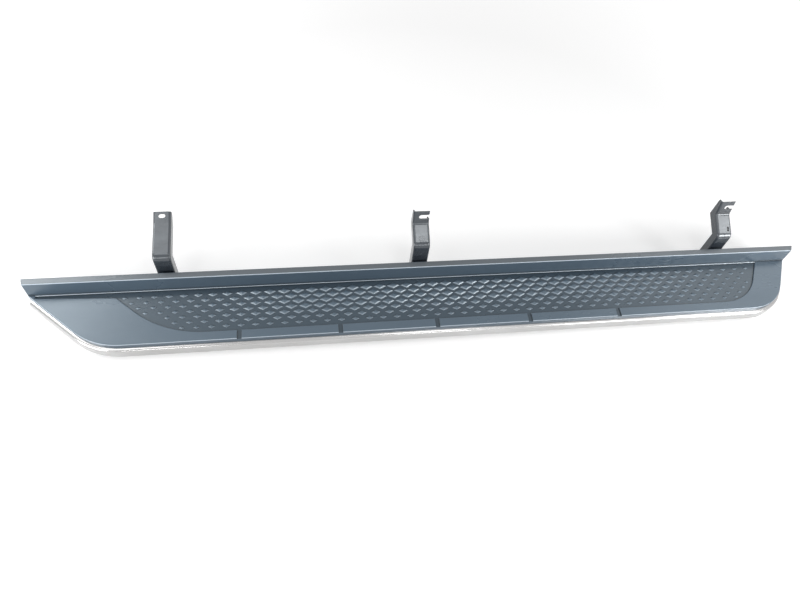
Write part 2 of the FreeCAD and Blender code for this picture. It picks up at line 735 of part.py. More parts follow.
def bracket(station):
    """One pressed bracket: an arm under the board, an upright, a ramp and a bolt tab, all one channel."""
    body = new_body(f"bracket_{station}")
    web = bracket_line(station, "0")
    rear = bracket_line(station, "flange_depth")
    web = [web[0], web[1] + ("foot_bend",), web[2] + ("knee_bend",), web[3] + ("tab_bend",), web[4]]
    heel = (f"{rear[1][0]} + foot_depth - flange_depth", rear[1][1], "foot_depth")
    deep = bracket_line(station, "ramp_flange")
    back = [bracket_line(station, f"{station}_flange")[4], deep[3], deep[2], heel, rear[0]]
    side = new_sketch(body, "SideOutline", "YZ", offset=f"{station}_station")
    draw_outline(side, web + back)
    pad(body, "Block", side, "bracket_width", both_ways=True)
    inner = bracket_line(station, "bracket_sheet")
    beyond = bracket_line(station, "foot_depth * 2")
    clear = "bracket_sheet * 2"
    inner = [
        (f"{inner[0][0]} - {clear}", inner[0][1]),
        inner[1] + ("foot_bend + bracket_sheet",),
        inner[2] + ("knee_bend - bracket_sheet",),
        inner[3] + ("tab_bend + bracket_sheet",),
        tab_point(station, f"(-{clear})", "bracket_sheet"),
    ]
    behind = tab_point(station, f"(-{clear})", "foot_depth * 2")
    outside = [
        behind,
        (behind[0], beyond[1][1]),
        (f"{beyond[0][0]} - {clear}", beyond[0][1]),
    ]
    trough = new_sketch(body, "TroughOutline", "YZ", offset=f"{station}_station")
    draw_outline(trough, inner + outside)
    cut = pocket(body, "Trough", trough, "bracket_width - 2 * bracket_sheet")
    cut.SideType = "Symmetric"
    middle = size(f"{station}_station")
    half = size("bracket_width") / 2

    def on_web_side(edge):
        """Edges along the web on either side face."""
        if not (lies_at(edge, across=middle - half) or lies_at(edge, across=middle + half)):
            return False
        return edge.BoundBox.ZMin > -size("skirt_depth") and web_distance(edge) < size("knee_bend") / 4

    def web_distance(edge):
        """How far the edge's middle lies behind the web's sharp side line."""
        spot = edge.valueAt((edge.FirstParameter + edge.LastParameter) / 2)
        line = [VECTOR(0, size(corner[0]), size(corner[1])) for corner in bracket_line(station, "0")]
        flat = VECTOR(0, spot.y, spot.z)
        runs = [Part.LineSegment(line[step], line[step + 1]).toShape() for step in range(len(line) - 1)]
        return min(run.distToShape(Part.Vertex(flat))[0] for run in runs)

    round_edges(body, "WebRounds", on_web_side, "bracket_corner")
    if station != "left":
        bare_tab(body, station)
    sill_opening(body, station)
    ramp_detail(body, station)
    holes = new_sketch(body, "ArmHoles", "XY", "-skirt_depth - pad_sheet")
    for along in bolt_rows():
        draw_punched(holes, f"{station}_station", along, "bolt_radius + bolt_gap", 12)
    pocket(body, "BoltHoles", holes, "bracket_sheet * 2")
    DOC.recompute()
    return body


def tab_point(station, along, depth):
    """Y and Z at a distance down from the tab's top and at a depth behind its front face."""
    top = bracket_line(station, "0")[4]
    angle = f"{station}_tab_angle"
    return (f"({top[0]} - {along} * cos({angle}) + {depth} * sin({angle}))",
            f"({top[1]} - {along} * sin({angle}) - {depth} * cos({angle}))")


def bare_tab(body, station):
    """Takes the flange off the tab's open side, so that a stud slides straight into the slot."""
    side = new_sketch(
        body, "BareTab", "YZ", offset=f"{station}_station + bracket_width / 2 - bracket_sheet * 1.5")
    above = "(-bracket_sheet)"
    low = f"({station}_drop + sill_slot * 2)"
    behind = "foot_depth * 2"
    draw_outline(side, [
        tab_point(station, above, "bracket_sheet"), tab_point(station, above, behind),
        tab_point(station, low, behind), tab_point(station, low, "bracket_sheet"),
    ])
    pocket(body, "FlangeCut", side, "bracket_sheet * 2", along_normal=True)
    DOC.recompute()


def long_hole(half_width, length):
    """Corners of a hole with round ends, as wide across as its length."""
    near_full = f"{half_width} * 0.99"
    return [
        (f"-{length} / 2", f"-{half_width}", near_full), (f"{length} / 2", f"-{half_width}", near_full),
        (f"{length} / 2", f"{half_width}", near_full), (f"-{length} / 2", f"{half_width}", near_full),
    ]


def sill_opening(body, station):
    """The long hole of the left tab, or the slot that opens to one side on the other two."""
    depth, up = tab_point(station, f"{station}_drop", "0")
    opening = new_sketch(
        body, "SillOpening", "XZ", offset=f"-{depth}", across=f"{station}_station", up=up,
        turn_axis=VECTOR(1, 0, 0), turn=f"{station}_tab_angle - 90")
    if station == "left":
        draw_outline(opening, long_hole("sill_hole", "sill_hole_length"))
    else:
        draw_outline(opening, [
            ("-sill_slot", "-sill_slot", "sill_slot * 0.99"),
            ("bracket_width", "-sill_slot"),
            ("bracket_width", "sill_slot"),
            ("-sill_slot", "sill_slot", "sill_slot * 0.99"),
        ])
    cut = pocket(body, "SillCut", opening, "flange_depth * 2")
    cut.SideType = "Symmetric"
    DOC.recompute()


def ramp_spot(station, along):
    """Y and Z on the ramp's front face at a distance along it from the knee."""
    knee = bracket_line(station, "0")[2]
    slope = f"{station}_ramp_angle"
    return (f"({knee[0]} + {along} * cos({slope}))", f"({knee[1]} + {along} * sin({slope}))")


def ramp_detail(body, station):
    """The long drip hole through the right ramp, or the round dimple raised on the middle one."""
    if station == "left":
        return
    along = "drip_hole_along" if station == "right" else "dimple_along"
    depth, up = ramp_spot(station, along)
    sketch = new_sketch(
        body, "RampDetail", "XY", offset=up, across=f"{station}_station", up=depth,
        turn_axis=VECTOR(1, 0, 0), turn=f"{station}_ramp_angle")
    if station == "right":
        half = "drip_hole_length / 2"
        side = "drip_hole * 0.99"
        draw_outline(sketch, [
            ("drip_hole_shift - drip_hole", f"-{half}", side), ("drip_hole_shift + drip_hole", f"-{half}", side),
            ("drip_hole_shift + drip_hole", half, side), ("drip_hole_shift - drip_hole", half, side),
        ])
        cut = pocket(body, "DripHole", sketch, "bracket_sheet * 3")
        cut.SideType = "Symmetric"
    else:
        draw_circle(sketch, "0", "0", "dimple_radius")
        pad(body, "Dimple", sketch, "dimple_rise * 2", both_ways=True)
    DOC.recompute()


def standing(name, sides, radius, height, across, along, up):
    """A prism with flat sides that stands on a place given by expressions, radius to its corners."""
    solid = DOC.addObject("Part::Prism", name)
    solid.Polygon = sides
    bind(solid, "Circumradius", radius)
    bind(solid, "Height", height)
    bind(solid, "Placement.Base.x", across)
    bind(solid, "Placement.Base.y", along)
    bind(solid, "Placement.Base.z", up)
    return solid


def grouped(name, solids):
    """Like pieces, each its own solid, in one node."""
    group = DOC.addObject("Part::Compound", name)
    group.Links = solids
    return group


def fused(name, solids):
    """Several solids joined into one."""
    whole = DOC.addObject("Part::MultiFuse", name)
    whole.Shapes = solids
    return whole


def cut_from(name, base, tool):
    """One solid with another taken out of it."""
    rest = DOC.addObject("Part::Cut", name)
    rest.Base = base
    rest.Tool = tool
    return rest


def bolt_places():
    """Name, X and Y of every bracket bolt."""
    places = []
    for station in BRACKETS:
        for order, along in enumerate(bolt_rows()):
            places.append((f"{station}_{order}", f"{station}_station", along))
    return places


def bracket_bolts():
    """Hexagon bolts that come up through arm, pad, tray and rail into the nut plates."""
    under_head = "(-skirt_depth - pad_sheet - bracket_sheet - washer_sheet)"
    bolts = []
    for tag, across, along in bolt_places():
        head = standing(
            f"bolt_head_{tag}", 6, "bolt_head / cos(30)", "bolt_head_rise",
            across, along, f"{under_head} - bolt_head_rise")
        shank = standing(
            f"bolt_shank_{tag}", 12, "bolt_radius", "bolt_length + bolt_head_rise / 2",
            across, along, f"{under_head} - bolt_head_rise / 2")
        bolts.append(fused(f"bolt_{tag}", [head, shank]))
    return grouped("bracket_bolts", bolts)


def punched_block(name, station, length, width, height, low):
    """A flat block under or over a bracket's arm, centred on its bolts, with a hole for each bolt."""
    block = DOC.addObject("Part::Box", f"{name}_block_{station}")
    bind(block, "Length", length)
    bind(block, "Width", width)
    bind(block, "Height", height)
    bind(block, "Placement.Base.x", f"{station}_station - {length} / 2")
    bind(block, "Placement.Base.y", f"-rail_offset - {width} / 2")
    bind(block, "Placement.Base.z", low)
    bores = [
        standing(f"{name}_bore_{station}_{order}", 12, "(bolt_radius + bolt_gap) / cos(15)", height,
                 f"{station}_station", along, low)
        for order, along in enumerate(bolt_rows())]
    return cut_from(f"{name}_{station}", block, fused(f"{name}_bores_{station}", bores))


def bracket_washers():
    """A plate washer under the two bolt heads of each bracket."""
    low = "(-skirt_depth - pad_sheet - bracket_sheet - washer_sheet)"
    return grouped("bracket_washers", [
        punched_block("washer", station, "washer_width", "washer_length", "washer_sheet", low)
        for station in BRACKETS])


def bracket_pads():
    """A rubber pad between each bracket arm and the tray."""
    low = "(-skirt_depth - pad_sheet)"
    width = "(bracket_width - 2 * bracket_corner)"
    return grouped("bracket_pads", [
        punched_block("pad", station, width, "rail_width", "pad_sheet", low)
        for station in BRACKETS])


def tray_screws():
    """The hexagon-headed screws that hold the tray to the moulding's bosses."""
    screws = []
    for order, (across, along) in enumerate(boss_places()):
        head = standing(
            f"screw_head_{order}", 6, "screw_head", "screw_head_rise",
            across, along, "-skirt_depth - screw_head_rise")
        shank = standing(
            f"screw_shank_{order}", 6, "screw_radius", "screw_length - screw_gap + screw_head_rise / 2",
            across, along, "-skirt_depth - screw_head_rise / 2")
        screws.append(fused(f"screw_{order}", [head, shank]))
    return grouped("tray_screws", screws)


def trim_clips():
    """Spring clips: rings of folded sheet between the skirt and the trim strip, on the strip's flange."""
    body = new_body("trim_clips")
    body.AllowCompound = True
    first = "(-(clip_count - 1) / 2 * clip_pitch)"
    profile = new_sketch(body, "ClipProfile", "YZ", offset=first)
    outside = "(-deck_depth - trim_reach + trim_sheet)"
    foot = "(-skirt_depth)"
    top = f"({foot} + clip_height)"
    cut = "clip_bend"
    draw_outline(profile, cut_corners(outside, "(-deck_depth)", foot, top, cut))
    draw_outline(profile, cut_corners(
        f"({outside} + clip_sheet)", "(-deck_depth - clip_sheet)", f"({foot} + clip_sheet)",
        f"({top} - clip_sheet)", "(clip_bend - clip_sheet / 2)"))
    clip = pad(body, "Clip", profile, "clip_width", both_ways=True)
    row = body.newObject("PartDesign::LinearPattern", "Clips")
    row.Originals = [clip]
    row.Direction = (profile, ["N_Axis"])
    row.Mode = "Spacing"
    bind(row, "Offset", "clip_pitch")
    bind(row, "Occurrences", "clip_count")
    body.Tip = row
    DOC.recompute()
    return body


def seat_and_write(nodes):
    """Puts the origin under the middle of the whole step, then writes every node."""
    whole = Part.makeCompound([node.Shape for node in nodes])
    box = whole.optimalBoundingBox(False)
    shift = VECTOR(-box.Center.x, -box.Center.y, -box.ZMin)
    os.makedirs("parts", exist_ok=True)
    for node in nodes:
        node.Placement = FreeCAD.Placement(shift, FreeCAD.Rotation())
        node.Shape.exportStep(f"parts/{node.Label}.step")
    print("seat", [round(value, 3) for value in shift], "size", round(box.XLength, 2),
          round(box.YLength, 2), round(box.ZLength, 2))


def check_document(nodes):
    """Stops before anything is written if an object failed or a sub-part isn't a valid solid."""
    for item in DOC.Objects:
        if "Invalid" in item.State or "Error" in item.State:
            raise RuntimeError(f"{item.Label} failed: {item.State}")
    for node in nodes:
        if node.Shape.isNull() or not node.Shape.isValid() or not node.Shape.Solids:
            raise RuntimeError(f"{node.Label} is not a valid solid")


fill_sheet()
NODES = [
    outer_trim(),
    trim_clips(),
    underside_tray(),
    tray_screws(),
    carrier_rail(),
    rail_plug("rail_plug_left", -1),
    rail_plug("rail_plug_right", 1),
    bracket_pads(),
    bracket_washers(),
    bracket_bolts(),
]
for bracket_name in BRACKETS:
    NODES.append(nut_plate(bracket_name))
    NODES.append(bracket(bracket_name))
NODES.append(tread_moulding())
DOC.recompute()
check_document(NODES)
seat_and_write(NODES)
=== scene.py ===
import json

import bpy
import numpy as np
from mathutils import Matrix, Vector


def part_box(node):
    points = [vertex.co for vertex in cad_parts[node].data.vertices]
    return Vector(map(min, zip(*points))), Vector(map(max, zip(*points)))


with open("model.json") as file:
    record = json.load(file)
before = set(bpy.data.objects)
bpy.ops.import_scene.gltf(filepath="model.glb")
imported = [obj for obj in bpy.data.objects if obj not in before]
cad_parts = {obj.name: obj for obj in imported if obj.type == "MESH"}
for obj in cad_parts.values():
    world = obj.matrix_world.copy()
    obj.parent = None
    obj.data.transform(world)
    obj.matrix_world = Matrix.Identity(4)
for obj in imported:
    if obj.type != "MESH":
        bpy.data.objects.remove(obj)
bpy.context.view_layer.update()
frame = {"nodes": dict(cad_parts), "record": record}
NODES = frame["nodes"]

# Sizes of the step that its materials and the camera need, in metres.
LIP_REACH = 0.023       # wall foot to the rear edge
SKIRT_DEPTH = 0.032     # tread floor to the skirt's lower edge
LIP_HEIGHT = 0.035      # lip top over the tread floor
TREAD_MIDDLE_X = 0.075  # middle of the rectangle that holds the lugs, from the board's middle
TREAD_MIDDLE_Y = 0.061  # and from the wall foot outward
TREAD_HALF_X = 0.775    # half of its length
TREAD_HALF_Y = 0.0545   # half of its width

moulding_low, moulding_high = (np.array(corner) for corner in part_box("tread_moulding"))
WALL_FOOT_Y = moulding_high[1] - LIP_REACH
FLOOR_Z = moulding_low[2] + SKIRT_DEPTH

# Faces of the moulding, told apart by their flat normal.
SLOPE_MIDDLE = 0.62     # upward part of the normal on a slope that gets a painted highlight
SLOPE_SPREAD = 0.31     # and how far it may differ
OUTWARD = -0.15         # outward part of the normal, at most
LEVEL = 0.95            # upward part of the normal on a level face, at least
FLOOR_FADE = (0.0012, 0.0002)   # height over the tread floor at which it ends, and where it is whole
LIP_TOP_SLACK = 0.0005  # how far under the lip's top a face still counts as the top

# Edges and hollows: the values at which each mask is 0 and 1.
EDGE_TURN = (0.985, 0.80)   # likeness of the rounded and the flat normal on an edge
CLEAR_SKY = (0.80, 0.97)    # share of the sky seen by an edge with nothing near it
HOLLOW_SKY = (0.93, 0.60)   # share of the sky seen in a hollow

# What each mask does to a colour: the share by which it moves, and the shade it moves to.
# Painted shade: the tread floor between the lugs is made darker.
FLOOR_PAINTED_SHADE = (0.72, (0.012, 0.024, 0.037))
LIP_TOP_TINT = (0.55, (0.120, 0.117, 0.112))
# Painted shade: grooves and inner corners are made darker.
HOLLOW_PAINTED_SHADE = (0.90, (0.010, 0.013, 0.017))
# Painted highlight: the lugs' outward-looking slopes are made lighter.
LUG_PAINTED_HIGHLIGHT = (0.42, (0.34, 0.41, 0.48))
# Painted highlight: outward-looking slopes on the moulding's edges are made lighter.
EDGE_PAINTED_HIGHLIGHT = (0.90, (0.50, 0.57, 0.64))
# Painted highlight: outer edges of the coated steel are made lighter.
STEEL_EDGE_PAINTED_HIGHLIGHT = (0.35, (0.30, 0.31, 0.32))


# Shader helpers

def new_group(name, inputs, outputs):
    """An empty shader node group with named inputs (name, kind, default) and outputs (name, kind)."""
    group = bpy.data.node_groups.new(name, "ShaderNodeTree")
    for label, kind, default in inputs:
        socket = group.interface.new_socket(label, in_out="INPUT", socket_type=kind)
        if default is not None:
            socket.default_value = default
    for label, kind in outputs:
        group.interface.new_socket(label, in_out="OUTPUT", socket_type=kind)
    entry = group.nodes.new("NodeGroupInput")
    leave = group.nodes.new("NodeGroupOutput")
    return group, entry, leave


def add_node(tree, kind, settings=None, values=None, links=None):
    """Adds a node, sets its properties and socket values, and links sockets into its inputs."""
    node = tree.nodes.new(kind)
    for key, value in (settings or {}).items():
        setattr(node, key, value)
    for key, value in (values or {}).items():
        node.inputs[key].default_value = value
    for key, source in (links or {}).items():
        tree.links.new(source, node.inputs[key])
    return node


def grain_group():
    """Moulded grain: a height for a bump, from a smooth cell pattern mixed with a finer noise."""
    group, entry, leave = new_group(
        "moulded grain",
        [("Position", "NodeSocketVector", None), ("Cells per metre", "NodeSocketFloat", 900.0),
         ("Fine share", "NodeSocketFloat", 0.4)],
        [("Height", "NodeSocketFloat")])
    cells = add_node(
        group, "ShaderNodeTexVoronoi", {"feature": "SMOOTH_F1"},
        {"Smoothness": 0.6, "Randomness": 1.0},
        {"Vector": entry.outputs["Position"], "Scale": entry.outputs["Cells per metre"]})
    finer = add_node(
        group, "ShaderNodeMath", {"operation": "MULTIPLY"}, {1: 2.7},
        {0: entry.outputs["Cells per metre"]})
    noise = add_node(
        group, "ShaderNodeTexNoise", {}, {"Detail": 3.0, "Roughness": 0.55},
        {"Vector": entry.outputs["Position"], "Scale": finer.outputs[0]})
    mix = add_node(
        group, "ShaderNodeMix", {"data_type": "FLOAT"}, {},
        {"Factor": entry.outputs["Fine share"], "A": cells.outputs["Distance"],
         "B": noise.outputs["Fac"]})
    group.links.new(mix.outputs["Result"], leave.inputs["Height"])
    return group


def mottle_group():
    """Slow uneven sheen: soft noise stretched along the board, as a factor from 0 to 1."""
    group, entry, leave = new_group(
        "uneven sheen",
        [("Position", "NodeSocketVector", None), ("Patches per metre", "NodeSocketFloat", 9.0),
         ("Contrast", "NodeSocketFloat", 1.5)],
        [("Factor", "NodeSocketFloat")])
    stretch = add_node(
        group, "ShaderNodeVectorMath", {"operation": "MULTIPLY"}, {1: (0.45, 1.0, 1.0)},
        {0: entry.outputs["Position"]})
    noise = add_node(
        group, "ShaderNodeTexNoise", {}, {"Detail": 4.0, "Roughness": 0.6},
        {"Vector": stretch.outputs[0], "Scale": entry.outputs["Patches per metre"]})
    centred = add_node(
        group, "ShaderNodeMath", {"operation": "SUBTRACT"}, {1: 0.5}, {0: noise.outputs["Fac"]})
    spread = add_node(
        group, "ShaderNodeMath", {"operation": "MULTIPLY_ADD", "use_clamp": True}, {2: 0.5},
        {0: centred.outputs[0], 1: entry.outputs["Contrast"]})
    group.links.new(spread.outputs[0], leave.inputs["Factor"])
    return group


def brush_group():
    """Drawn metal: noise squeezed along the board's length, so that it reads as fine lines."""
    group, entry, leave = new_group(
        "drawn lines",
        [("Position", "NodeSocketVector", None), ("Lines per metre", "NodeSocketFloat", 1800.0)],
        [("Lines", "NodeSocketFloat")])
    squeeze = add_node(
        group, "ShaderNodeVectorMath", {"operation": "MULTIPLY"}, {1: (0.006, 1.0, 1.0)},
        {0: entry.outputs["Position"]})
    noise = add_node(
        group, "ShaderNodeTexNoise", {}, {"Detail": 2.0, "Roughness": 0.5},
        {"Vector": squeeze.outputs[0], "Scale": entry.outputs["Lines per metre"]})
    group.links.new(noise.outputs["Fac"], leave.inputs["Lines"])
    return group


def edge_group():
    """Rounded edges: a normal that runs round the edges, and masks of edges and hollows.

    Edges is 1 on outer edges, where the rounded normal leaves the flat one and nothing stands near;
    it places painted highlights.
    Hollows is 1 in grooves and inner corners, found from how much of the sky they see close by; it
    places painted shade.
    """
    group, entry, leave = new_group(
        "rounded edges and hollows",
        [("Radius", "NodeSocketFloat", 0.001), ("Hollow width", "NodeSocketFloat", 0.004)],
        [("Normal", "NodeSocketVector"), ("Edges", "NodeSocketFloat"),
         ("Hollows", "NodeSocketFloat")])
    rounded = add_node(
        group, "ShaderNodeBevel", {"samples": 4}, {}, {"Radius": entry.outputs["Radius"]})
    flat = group.nodes.new("ShaderNodeNewGeometry")
    turn = add_node(
        group, "ShaderNodeVectorMath", {"operation": "DOT_PRODUCT"}, {},
        {0: rounded.outputs["Normal"], 1: flat.outputs["True Normal"]})
    bent = add_node(
        group, "ShaderNodeMapRange", {}, {"From Min": EDGE_TURN[0], "From Max": EDGE_TURN[1]},
        {"Value": turn.outputs["Value"]})
    open_sky = add_node(
        group, "ShaderNodeAmbientOcclusion", {"samples": 6, "only_local": True}, {},
        {"Distance": entry.outputs["Hollow width"]})
    clear = add_node(
        group, "ShaderNodeMapRange", {}, {"From Min": CLEAR_SKY[0], "From Max": CLEAR_SKY[1]},
        {"Value": open_sky.outputs["AO"]})
    edges = add_node(
        group, "ShaderNodeMath", {"operation": "MULTIPLY"}, {},
        {0: bent.outputs["Result"], 1: clear.outputs["Result"]})
    low = add_node(
        group, "ShaderNodeMapRange", {}, {"From Min": HOLLOW_SKY[0], "From Max": HOLLOW_SKY[1]},
        {"Value": open_sky.outputs["AO"]})
    group.links.new(rounded.outputs["Normal"], leave.inputs["Normal"])
    group.links.new(edges.outputs[0], leave.inputs["Edges"])
    group.links.new(low.outputs["Result"], leave.inputs["Hollows"])
    return group


def face_mask_group():
    """Masks of the moulding's faces: sloping faces that look outward, on lugs and on long edges, for
    painted highlights, and the tread floor, for painted shade.

    Outward edges and Lug faces are 1 on faces whose normal slopes up by SLOPE_MIDDLE, give or take
    SLOPE_SPREAD, and outward past OUTWARD, outside and inside the tread's rectangle. Floor is 1 on
    level faces at the tread floor's height and fades out just above it, as FLOOR_FADE says. Top is
    1 on level faces at the height of the lip's top.
    """
    group, entry, leave = new_group(
        "moulding face masks", [("Position", "NodeSocketVector", None)],
        [("Outward edges", "NodeSocketFloat"), ("Lug faces", "NodeSocketFloat"),
         ("Floor", "NodeSocketFloat"), ("Top", "NodeSocketFloat")])

    def math(operation, first, second, third=None):
        node = group.nodes.new("ShaderNodeMath")
        node.operation = operation
        for socket, value in zip(node.inputs, (first, second, third)):
            if isinstance(value, bpy.types.NodeSocket):
                group.links.new(value, socket)
            elif value is not None:
                socket.default_value = value
        return node.outputs[0]

    flat = group.nodes.new("ShaderNodeNewGeometry")
    normal = add_node(group, "ShaderNodeSeparateXYZ", links={"Vector": flat.outputs["True Normal"]})
    spot = add_node(group, "ShaderNodeSeparateXYZ", links={"Vector": entry.outputs["Position"]})
    sloping = math("COMPARE", normal.outputs["Z"], SLOPE_MIDDLE, SLOPE_SPREAD)
    outward = math("LESS_THAN", normal.outputs["Y"], OUTWARD)
    sloping_outward = math("MULTIPLY", sloping, outward)
    in_x = math("COMPARE", spot.outputs["X"], TREAD_MIDDLE_X, TREAD_HALF_X)
    in_y = math("COMPARE", spot.outputs["Y"], WALL_FOOT_Y - TREAD_MIDDLE_Y, TREAD_HALF_Y)
    in_tread = math("MULTIPLY", in_x, in_y)
    lugs = math("MULTIPLY", sloping_outward, in_tread)
    group.links.new(lugs, leave.inputs["Lug faces"])
    group.links.new(math("SUBTRACT", sloping_outward, lugs), leave.inputs["Outward edges"])
    height = math("SUBTRACT", spot.outputs["Z"], FLOOR_Z)
    low = add_node(
        group, "ShaderNodeMapRange", {}, {"From Min": FLOOR_FADE[0], "From Max": FLOOR_FADE[1]},
        {"Value": height})
    level = math("GREATER_THAN", normal.outputs["Z"], LEVEL)
    group.links.new(math("MULTIPLY", low.outputs["Result"], level), leave.inputs["Floor"])
    high = math("GREATER_THAN", height, LIP_HEIGHT - LIP_TOP_SLACK)
    group.links.new(math("MULTIPLY", high, level), leave.inputs["Top"])
    return group


GRAIN = grain_group()
MOTTLE = mottle_group()
FACE_MASKS = face_mask_group()
BRUSH = brush_group()
EDGES = edge_group()


def new_material(name, **shader_values):
    """A material with one Principled BSDF whose plain values are set on its own sockets."""
    material = bpy.data.materials.new(name)
    material.use_nodes = True
    tree = material.node_tree
    shader = tree.nodes["Principled BSDF"]
    for key, value in shader_values.items():
        shader.inputs[key.replace("_", " ")].default_value = value
    place = tree.nodes.new("ShaderNodeTexCoord")
    return material, tree, shader, place.outputs["Object"]


def use_group(tree, group, **values):
    """Places a shared effect in a material."""
    node = tree.nodes.new("ShaderNodeGroup")
    node.node_tree = group
    for key, value in values.items():
        label = key.replace("_", " ")
        if isinstance(value, bpy.types.NodeSocket):
            tree.links.new(value, node.inputs[label])
        else:
            node.inputs[label].default_value = value
    return node


def vary(tree, factor, low, high, kind="RGBA"):
    """Mixes between two colours or two numbers by a factor that changes over the surface."""
    mix = tree.nodes.new("ShaderNodeMix")
    mix.data_type = kind
    tree.links.new(factor, mix.inputs["Factor"])
    first, second = [socket for socket in mix.inputs if socket.name in ("A", "B") and socket.enabled]
    first.default_value = low
    second.default_value = high
    return [socket for socket in mix.outputs if socket.enabled][0]


def bump(tree, shader, height, distance, normal=None):
    """Feeds a height from 0 to 1, times a distance in metres, into the shader's normal.

    Where a rounded normal is given, the bump lies over it.
    """
    node = add_node(tree, "ShaderNodeBump", {}, {"Distance": distance}, {"Height": height})
    if normal is not None:
        tree.links.new(normal, node.inputs["Normal"])
    tree.links.new(node.outputs["Normal"], shader.inputs["Normal"])


def tint(tree, colour, mask, share, shade):
    """Moves a colour towards a shade by a share where the mask is 1."""
    amount = add_node(tree, "ShaderNodeMath", {"operation": "MULTIPLY"}, {1: share}, {0: mask})
    mix = tree.nodes.new("ShaderNodeMix")
    mix.data_type = "RGBA"
    tree.links.new(amount.outputs[0], mix.inputs["Factor"])
    first, second = [socket for socket in mix.inputs if socket.name in ("A", "B") and socket.enabled]
    tree.links.new(colour, first)
    second.default_value = (*shade, 1)
    return [socket for socket in mix.outputs if socket.enabled][0]


def grained_plastic(name, dark, light, rough, cells, depth, **extra):
    """Moulded plastic: two close colours and roughnesses in slow patches, with a fine grain."""
    material, tree, shader, place = new_material(name, **extra)
    sheen = use_group(tree, MOTTLE, Position=place, Patches_per_metre=9.0, Contrast=1.8)
    grain = use_group(tree, GRAIN, Position=place, Cells_per_metre=cells, Fine_share=0.45)
    factor = sheen.outputs["Factor"]
    tree.links.new(vary(tree, factor, (*dark, 1), (*light, 1)), shader.inputs["Base Color"])
    tree.links.new(vary(tree, factor, rough[1], rough[0], "FLOAT"), shader.inputs["Roughness"])
    bump(tree, shader, grain.outputs["Height"], depth)
    return material


def deck_plastic(name, dark, light, rough, cells, depth, **extra):
    """The moulding's plastic: grained, with painted shade on the tread floor and in hollows, and
    painted highlights on outward slopes.
    """
    material, tree, shader, place = new_material(name, **extra)
    sheen = use_group(tree, MOTTLE, Position=place, Patches_per_metre=9.0, Contrast=1.8)
    grain = use_group(tree, GRAIN, Position=place, Cells_per_metre=cells, Fine_share=0.45)
    edge = use_group(tree, EDGES, Radius=0.0008, Hollow_width=0.006)
    face_mask = use_group(tree, FACE_MASKS, Position=place)
    factor = sheen.outputs["Factor"]
    colour = vary(tree, factor, (*dark, 1), (*light, 1))
    # Painted shade on the tread floor.
    colour = tint(tree, colour, face_mask.outputs["Floor"], *FLOOR_PAINTED_SHADE)
    colour = tint(tree, colour, face_mask.outputs["Top"], *LIP_TOP_TINT)
    # Painted shade in grooves and inner corners.
    colour = tint(tree, colour, edge.outputs["Hollows"], *HOLLOW_PAINTED_SHADE)
    # Painted highlights on the lugs' outward slopes and on the moulding's outward edges.
    colour = tint(tree, colour, face_mask.outputs["Lug faces"], *LUG_PAINTED_HIGHLIGHT)
    colour = tint(tree, colour, face_mask.outputs["Outward edges"], *EDGE_PAINTED_HIGHLIGHT)
    tree.links.new(colour, shader.inputs["Base Color"])
    tree.links.new(vary(tree, factor, rough[1], rough[0], "FLOAT"), shader.inputs["Roughness"])
    bump(tree, shader, grain.outputs["Height"], depth, edge.outputs["Normal"])
    return material


def drawn_metal(name, dark, light, rough, lines, depth, **extra):
    """Metal with fine lines along its length in roughness and bump, and colour in slow patches."""
    material, tree, shader, place = new_material(name, Metallic=1.0, **extra)
    brushed = use_group(tree, BRUSH, Position=place, Lines_per_metre=lines)
    sheen = use_group(tree, MOTTLE, Position=place, Patches_per_metre=5.0, Contrast=1.2)
    colour = vary(tree, sheen.outputs["Factor"], (*dark, 1), (*light, 1))
    tree.links.new(colour, shader.inputs["Base Color"])
    roughness = vary(tree, brushed.outputs["Lines"], *rough, "FLOAT")
    tree.links.new(roughness, shader.inputs["Roughness"])
    bump(tree, shader, brushed.outputs["Lines"], depth)
    return material


def coated_steel(name, dark, light, rough, orange_peel, depth, **extra):
    """Powder-coated steel: a slightly wavy film over pressed sheet, with soft uneven sheen and
    painted highlights on its edges.
    """
    material, tree, shader, place = new_material(name, **extra)
    sheen = use_group(tree, MOTTLE, Position=place, Patches_per_metre=45.0, Contrast=2.0)
    peel = use_group(tree, GRAIN, Position=place, Cells_per_metre=orange_peel, Fine_share=0.15)
    factor = sheen.outputs["Factor"]
    edge = use_group(tree, EDGES, Radius=0.0012, Hollow_width=0.003)
    colour = vary(tree, factor, (*dark, 1), (*light, 1))
    # Painted highlight on the outer edges.
    colour = tint(tree, colour, edge.outputs["Edges"], *STEEL_EDGE_PAINTED_HIGHLIGHT)
    tree.links.new(colour, shader.inputs["Base Color"])
    tree.links.new(vary(tree, factor, rough[1], rough[0], "FLOAT"), shader.inputs["Roughness"])
    bump(tree, shader, peel.outputs["Height"], depth, edge.outputs["Normal"])
    return material


